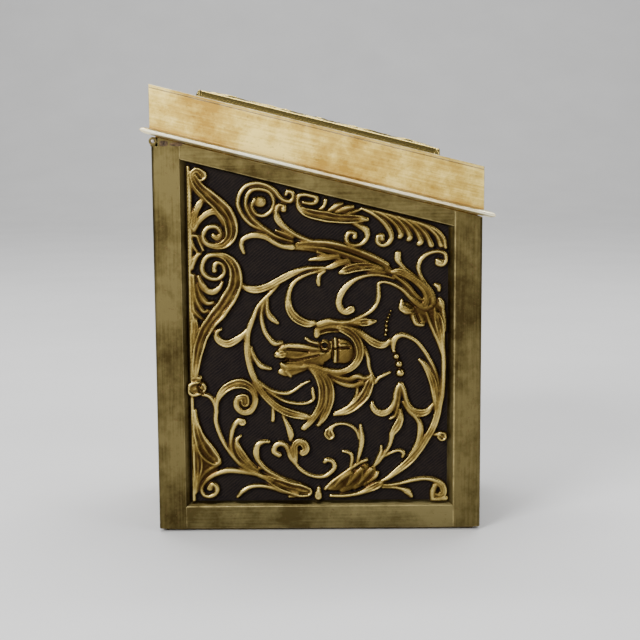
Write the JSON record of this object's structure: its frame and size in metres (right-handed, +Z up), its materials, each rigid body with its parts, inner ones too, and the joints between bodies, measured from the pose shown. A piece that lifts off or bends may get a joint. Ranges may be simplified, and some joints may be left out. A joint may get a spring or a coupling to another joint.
{
  "type": "needle case",
  "caption": "Slope-topped brass needle case with stamped scrollwork panels, a hinged overhanging lid and four inner compartments.",
  "frame": {"origin": "centre of the underside of the case", "axes": "+Z up, +X from the tall hinge side to the low side, -Y out of the pictured wide face"},
  "size_m": [0.0542, 0.0354, 0.0702],
  "materials": {
    "frame_brass": "worn and brushed along each strip, pitted, brown in the corners",
    "lid_brass": "worn and brushed, warmer than the frame",
    "inner_brass": "dull rolled sheet",
    "scroll_brass": "stamped relief, bright on its edges and brown in its hollows",
    "panel_ground": "blackened and hatched",
    "pin_steel": "dull",
    "velvet": "short pile"
  },
  "bodies": {
    "case": {"base_plate": "frame_brass", "case_shell": "inner_brass", "rim_collar": "lid_brass", "floor_lining": "velvet", "divider_long": "inner_brass", "divider_cross": "inner_brass", "post_front_left": "frame_brass", "post_front_right": "frame_brass", "post_back_left": "frame_brass", "post_back_right": "frame_brass", "foot_rail_front": "frame_brass", "foot_rail_back": "frame_brass", "foot_rail_left": "frame_brass", "foot_rail_right": "frame_brass", "top_rail_front": "frame_brass", "top_rail_back": "frame_brass", "top_rail_left": "frame_brass", "top_rail_right": "frame_brass", "panel_front": "panel_ground", "panel_back": "panel_ground", "panel_left": "panel_ground", "panel_right": "panel_ground", "scrolls_front": "scroll_brass", "scrolls_back": "scroll_brass", "scrolls_left": "scroll_brass", "scrolls_right": "scroll_brass", "hinge_knuckles_case": "frame_brass", "hinge_pin": "pin_steel"},
    "lid": {"lid_wall_front": "lid_brass", "lid_wall_back": "lid_brass", "lid_wall_left": "lid_brass", "lid_wall_right": "lid_brass", "lid_top_frame": "lid_brass", "lid_panel": "panel_ground", "lid_scrolls": "scroll_brass", "lid_rim_front": "lid_brass", "lid_rim_back": "lid_brass", "lid_rim_left": "lid_brass", "lid_rim_right": "lid_brass", "hinge_knuckles_lid": "lid_brass"}
  },
  "joints": [
    {"name": "lid_hinge", "type": "hinge", "parent": "case", "child": "lid", "pos_m": [-0.0252, 0, 0.0616], "axis": [0, -1, 0], "range_deg": [0, 100]}
  ]
}
